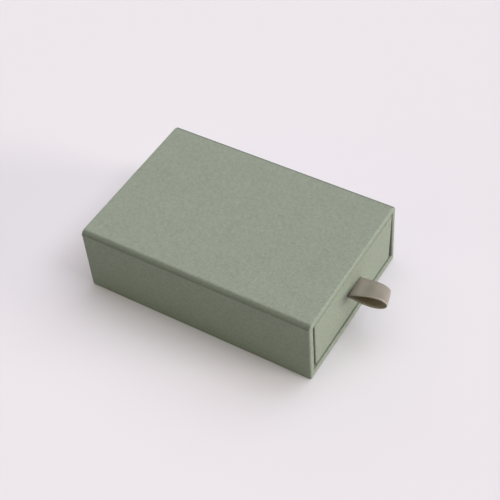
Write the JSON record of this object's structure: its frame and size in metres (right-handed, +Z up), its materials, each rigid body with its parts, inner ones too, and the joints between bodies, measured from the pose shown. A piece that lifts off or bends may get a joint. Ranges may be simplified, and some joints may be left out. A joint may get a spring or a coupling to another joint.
{
  "type": "sliding drawer gift box",
  "caption": "Shallow rectangular paperboard gift box: a sleeve open at a short end, with a drawer that slides out of it on a ribbon loop pull.",
  "frame": {"origin": "centre of the flat underside that the sleeve stands on", "axes": "+X the way the drawer pulls out, +Y across the box toward the far long side, +Z up"},
  "size_m": [0.1128, 0.0658, 0.0294],
  "materials": {
    "cover_paper": "matt sage green, fine linen emboss",
    "lining_paper": "matt sage green",
    "greyboard": "raw grey, hidden under the paper",
    "ribbon": "taupe satin"
  },
  "bodies": {
    "sleeve": {"sleeve_top_board": "greyboard", "sleeve_bottom_board": "greyboard", "sleeve_near_side_board": "greyboard", "sleeve_far_side_board": "greyboard", "sleeve_back_board": "greyboard", "sleeve_cover_paper": "cover_paper", "sleeve_lining": "lining_paper", "sleeve_back_lining": "lining_paper"},
    "drawer": {"drawer_base_board": "greyboard", "drawer_front_board": "greyboard", "drawer_back_board": "greyboard", "drawer_near_side_board": "greyboard", "drawer_far_side_board": "greyboard", "drawer_cover_paper": "cover_paper", "drawer_wall_lining": "lining_paper", "drawer_front_lining": "lining_paper", "drawer_floor_card": "lining_paper", "pull_ribbon": "ribbon"}
  },
  "joints": [
    {"name": "drawer_slide", "type": "slide", "parent": "sleeve", "child": "drawer", "axis": [1, 0, 0], "range_m": [0, 0.085]}
  ]
}
